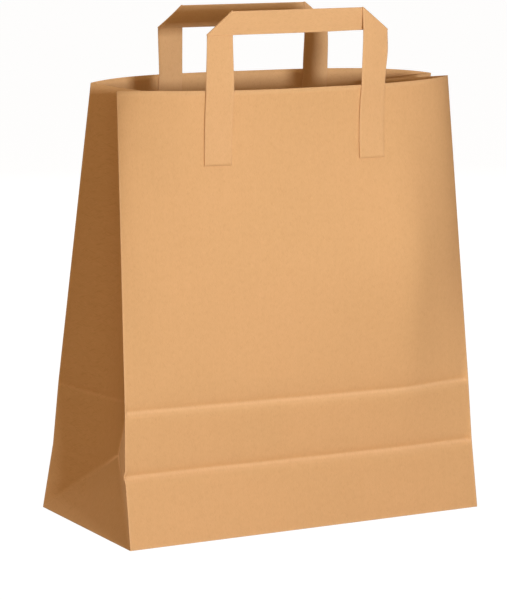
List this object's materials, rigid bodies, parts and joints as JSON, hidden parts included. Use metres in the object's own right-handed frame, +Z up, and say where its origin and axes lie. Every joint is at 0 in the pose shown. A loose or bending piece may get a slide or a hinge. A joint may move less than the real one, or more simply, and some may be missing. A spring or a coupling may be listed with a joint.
{
  "type": "paper carrier bag",
  "caption": "Open brown paper carrier bag with a flat block bottom, folded-in sides and a flat folded paper handle glued to each face.",
  "frame": {"origin": "middle of the flat bottom, on the surface that the bag stands on", "axes": "+Z up from the bottom to the mouth, -Y towards the front panel, +X to the right seen from the front"},
  "size_m": [0.272, 0.1591, 0.3428],
  "materials": {
    "kraft_paper": "matt brown kraft with a fine fibre grain",
    "kraft_tape": "matt brown kraft tape, folded over on itself"
  },
  "bodies": {
    "root": {"bag_body": "kraft_paper", "front_handle": "kraft_tape", "rear_handle": "kraft_tape"}
  },
  "joints": []
}
